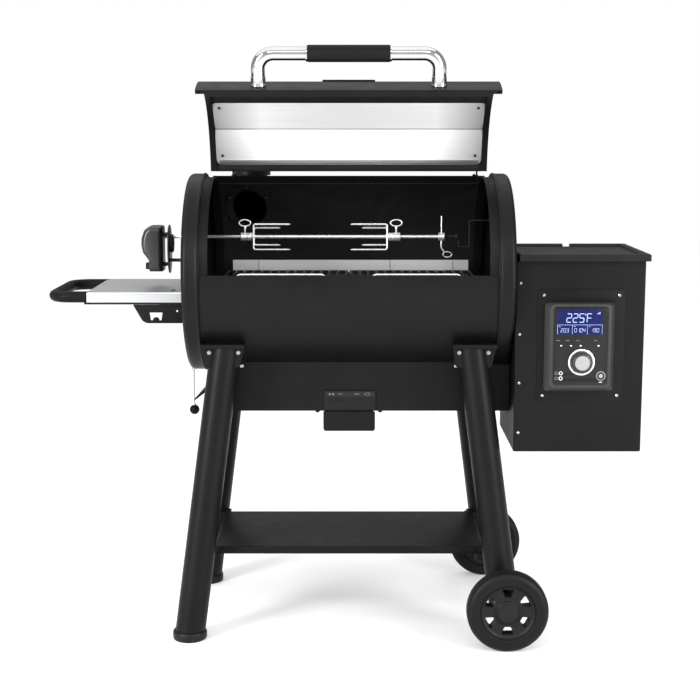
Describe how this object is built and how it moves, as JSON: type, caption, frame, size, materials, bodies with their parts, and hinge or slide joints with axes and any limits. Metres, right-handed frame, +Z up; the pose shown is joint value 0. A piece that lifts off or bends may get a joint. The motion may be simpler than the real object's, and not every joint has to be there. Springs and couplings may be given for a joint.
{
  "type": "pellet smoker grill",
  "caption": "Barrel pellet smoker grill on a wheeled cart, with its lid open, rotisserie, side shelf, pellet hopper and digital controller.",
  "frame": {"origin": "on the floor under the middle of the whole grill's box, side shelf, hopper and open lid included", "axes": "+X towards the hopper, +Y away from the cook, +Z up"},
  "size_m": [1.583, 0.759, 1.56],
  "materials": {
    "black_powder_coat": "satin black powder coat",
    "chamber_black": "heat-darkened matt black inside",
    "brushed_stainless": "brushed stainless steel",
    "chrome_plate": "bright chrome plate",
    "black_iron": "seasoned black cast iron",
    "plain_steel": "plain mill-finish steel",
    "black_resin": "black moulded resin",
    "grip_rubber": "ribbed black rubber grip",
    "tyre_rubber": "matt black tyre",
    "controller_plastic": "grey-black moulded controller case",
    "lcd_blue": "blue backlit display with pale digits"
  },
  "bodies": {
    "cart": {"barrel_shell": "black_powder_coat", "end_cap_left": "black_powder_coat", "end_cap_right": "black_powder_coat", "exhaust_duct": "black_powder_coat", "stack_cap": "black_powder_coat", "heat_diffuser": "brushed_stainless", "cooking_grid_left": "black_iron", "cooking_grid_right": "black_iron", "wheel_axle": "plain_steel", "bottom_shelf": "black_powder_coat", "auger_housing": "black_powder_coat", "fire_pot": "plain_steel", "igniter_rod": "plain_steel", "auger_tube": "plain_steel", "auger_gearmotor": "plain_steel", "fan_housing": "black_resin", "spit_support": "plain_steel", "motor_mount": "black_resin", "motor_housing": "black_resin", "side_shelf_top": "brushed_stainless", "side_shelf_frame": "black_resin", "hopper_casing": "black_powder_coat", "pellet_bin": "plain_steel", "control_plate": "black_powder_coat", "controller_body": "controller_plastic", "lcd_screen": "lcd_blue", "leg_front_left": "black_powder_coat", "leg_bracket_front_left": "black_powder_coat", "leg_front_right": "black_powder_coat", "leg_bracket_front_right": "black_powder_coat", "foot_front_left": "black_resin", "shelf_bracket_front": "black_powder_coat", "leg_rear_left": "black_powder_coat", "leg_bracket_rear_left": "black_powder_coat", "leg_rear_right": "black_powder_coat", "leg_bracket_rear_right": "black_powder_coat", "foot_rear_left": "black_resin", "shelf_bracket_rear": "black_powder_coat"},
    "lid": {"lid_skin": "black_powder_coat", "lid_liner": "brushed_stainless", "lid_handle": "chrome_plate", "lid_grip": "grip_rubber"},
    "hopper_lid": {"hopper_lid": "black_powder_coat"},
    "wheel_front": {"tyre_front": "tyre_rubber", "wheel_hub_front": "black_resin"},
    "wheel_rear": {"tyre_rear": "tyre_rubber", "wheel_hub_rear": "black_resin"},
    "spit": {"spit_rod": "chrome_plate"},
    "fork_left": {"fork_left": "chrome_plate"},
    "fork_right": {"fork_right": "chrome_plate"},
    "thumbscrew_left": {"thumbscrew_left": "chrome_plate"},
    "thumbscrew_right": {"thumbscrew_right": "chrome_plate"},
    "ash_box": {"ash_box": "black_powder_coat"},
    "cleanout_slider": {"cleanout_slider": "black_powder_coat"},
    "control_knob": {"control_knob": "black_resin"},
    "power_button": {"power_button": "black_resin"},
    "motor_switch": {"motor_switch": "black_resin"},
    "plug_chain": {"plug_chain": "plain_steel"},
    "auger_screw": {"auger_screw": "plain_steel"},
    "fan_impeller": {"fan_impeller": "black_resin"}
  },
  "joints": [
    {"name": "lid_hinge", "type": "hinge", "parent": "cart", "child": "lid", "pos_m": [0.0115, 0.1069, 1.218], "axis": [1, 0, 0], "range_deg": [0, 60]},
    {"name": "hopper_lid_hinge", "type": "hinge", "parent": "cart", "child": "hopper_lid", "pos_m": [0.6215, 0.0855, 1.015], "axis": [-1, 0, 0], "range_deg": [0, 95]},
    {"name": "wheel_front_spin", "type": "hinge", "parent": "cart", "child": "wheel_front", "pos_m": [0.4265, -0.3525, 0.107], "axis": [0, 1, 0], "continuous": true},
    {"name": "wheel_rear_spin", "type": "hinge", "parent": "cart", "child": "wheel_rear", "pos_m": [0.4265, 0.2835, 0.107], "axis": [0, 1, 0], "continuous": true},
    {"name": "spit_spin", "type": "hinge", "parent": "cart", "child": "spit", "pos_m": [0.0115, -0.0225, 1.06], "axis": [1, 0, 0], "continuous": true},
    {"name": "fork_left_slide", "type": "slide", "parent": "spit", "child": "fork_left", "axis": [1, 0, 0], "range_m": [-0.03, 0.06]},
    {"name": "fork_right_slide", "type": "slide", "parent": "spit", "child": "fork_right", "axis": [1, 0, 0], "range_m": [-0.06, 0.07]},
    {"name": "thumbscrew_left_turn", "type": "hinge", "parent": "fork_left", "child": "thumbscrew_left", "pos_m": [-0.2735, -0.0225, 1.09], "axis": [0, 0, 1], "continuous": true},
    {"name": "thumbscrew_right_turn", "type": "hinge", "parent": "fork_right", "child": "thumbscrew_right", "pos_m": [0.1415, -0.0225, 1.09], "axis": [0, 0, 1], "continuous": true},
    {"name": "ash_box_slide", "type": "slide", "parent": "cart", "child": "ash_box", "axis": [0, -1, 0], "range_m": [0, 0.19]},
    {"name": "cleanout_slide", "type": "slide", "parent": "cart", "child": "cleanout_slider", "axis": [0, -1, 0], "range_m": [0, 0.05]},
    {"name": "control_knob_turn", "type": "hinge", "parent": "cart", "child": "control_knob", "pos_m": [0.614, -0.2925, 0.755], "axis": [0, 1, 0], "continuous": true},
    {"name": "power_button_press", "type": "slide", "parent": "cart", "child": "power_button", "axis": [0, 1, 0], "range_m": [0, 0.0015], "stiffness_N_per_m": 600},
    {"name": "motor_switch_rock", "type": "hinge", "parent": "cart", "child": "motor_switch", "pos_m": [-0.5335, -0.0225, 0.98], "axis": [0, 1, 0], "range_deg": [-8, 8]},
    {"name": "plug_chain_swing", "type": "hinge", "parent": "cart", "child": "plug_chain", "pos_m": [-0.42, -0.0225, 0.69], "axis": [0, 1, 0], "range_deg": [-35, 35]},
    {"name": "auger_spin", "type": "hinge", "parent": "cart", "child": "auger_screw", "pos_m": [0.3715, -0.0225, 0.66], "axis": [1, 0, 0], "continuous": true},
    {"name": "fan_spin", "type": "hinge", "parent": "cart", "child": "fan_impeller", "pos_m": [0.4815, -0.0225, 0.57], "axis": [1, 0, 0], "continuous": true}
  ]
}
